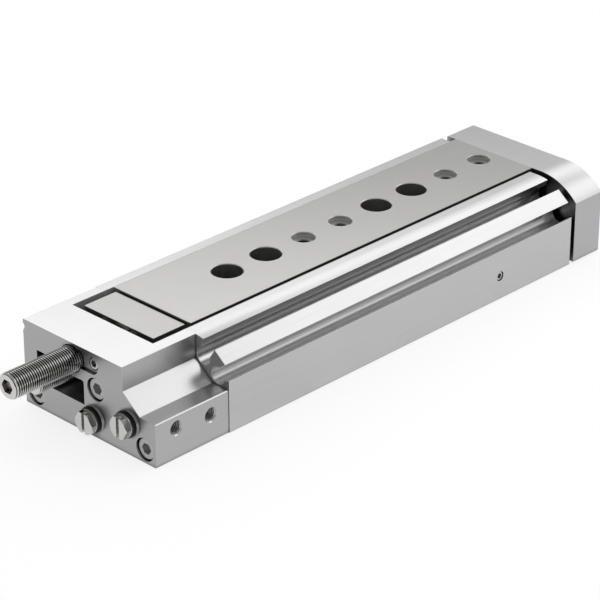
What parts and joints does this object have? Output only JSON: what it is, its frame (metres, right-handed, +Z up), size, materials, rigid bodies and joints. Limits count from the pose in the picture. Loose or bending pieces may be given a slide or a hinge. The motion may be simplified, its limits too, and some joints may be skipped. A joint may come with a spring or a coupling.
{
  "type": "pneumatic slide table",
  "caption": "Compact air-driven slide table: a ball-guided steel slide beside a cylinder, with a yoke plate, adjustable end stops, sensor slots and side air ports.",
  "frame": {"origin": "middle of the flat base, halfway along the housing with its end cap and across its width", "axes": "+X is the way the slide advances, towards the yoke plate; -Y is the side with the sensor slots and air ports; +Z is up from the base"},
  "size_m": [0.2696, 0.0692, 0.0341],
  "materials": {
    "housing_aluminium": "extruded, clear anodised, fine lines along the length",
    "cap_aluminium": "milled, clear anodised, satin",
    "yoke_aluminium": "milled, clear anodised, satin",
    "bearing_aluminium": "turned",
    "slide_steel": "ground along the length",
    "block_steel": "ground",
    "rail_steel": "hardened and ground",
    "screw_steel": "zinc plated",
    "set_screw_steel": "zinc plated",
    "pin_steel": "ground",
    "ball_steel": "polished",
    "stud_steel": "nickel plated thread",
    "plug_nickel": "nickel plated, satin",
    "seal_rubber": "black",
    "buffer_plastic": "black elastomer",
    "cage_plastic": "moulded",
    "bush_bronze": "sintered bronze",
    "rod_chrome": "ground and polished",
    "magnet_ferrite": "dark"
  },
  "bodies": {
    "base": {"housing": "housing_aluminium", "end_cap": "cap_aluminium", "end_cap_screws": "screw_steel", "port_plugs": "plug_nickel", "port_plug_seals": "seal_rubber", "stop_pad": "pin_steel", "stop_lock_screw": "set_screw_steel", "bearing_lock_screw": "set_screw_steel", "guide_rail_right": "rail_steel", "guide_rail_left": "rail_steel", "rail_screws": "screw_steel", "bearing_cap": "bearing_aluminium", "rod_bush": "bush_bronze", "rod_seal": "seal_rubber", "bearing_seal_ring": "seal_rubber", "bore_seal_ring": "seal_rubber", "passage_seal_ring": "seal_rubber"},
    "slide_table": {"slide": "slide_steel", "stop_block": "block_steel", "stop_block_screws": "screw_steel", "yoke_plate": "yoke_aluminium", "yoke_screws": "screw_steel", "yoke_pins": "pin_steel", "piston_rod": "rod_chrome", "rod_screw": "screw_steel", "piston": "bearing_aluminium", "piston_seals": "seal_rubber", "piston_magnet": "magnet_ferrite", "piston_screw": "screw_steel"},
    "ball_cages": {"ball_cage_right": "cage_plastic", "ball_cage_left": "cage_plastic", "balls_right": "ball_steel", "balls_left": "ball_steel"},
    "retract_stop": {"retract_stop_stud": "stud_steel", "retract_stop_buffer": "buffer_plastic"},
    "advance_stop": {"advance_stop_stud": "stud_steel", "advance_stop_buffer": "buffer_plastic"}
  },
  "joints": [
    {"name": "slide_travel", "type": "slide", "parent": "base", "child": "slide_table", "axis": [1, 0, 0], "range_m": [0, 0.1]},
    {"name": "cage_travel", "type": "slide", "parent": "base", "child": "ball_cages", "axis": [1, 0, 0], "range_m": [0, 0.05]},
    {"name": "retract_stop_adjust", "type": "slide", "parent": "base", "child": "retract_stop", "axis": [1, 0, 0], "range_m": [-0.012, 0]},
    {"name": "advance_stop_adjust", "type": "slide", "parent": "slide_table", "child": "advance_stop", "axis": [1, 0, 0], "range_m": [0, 0.01]}
  ],
  "couplings": [
    {"joint": "cage_travel", "follows": "slide_travel", "ratio": 0.5}
  ]
}
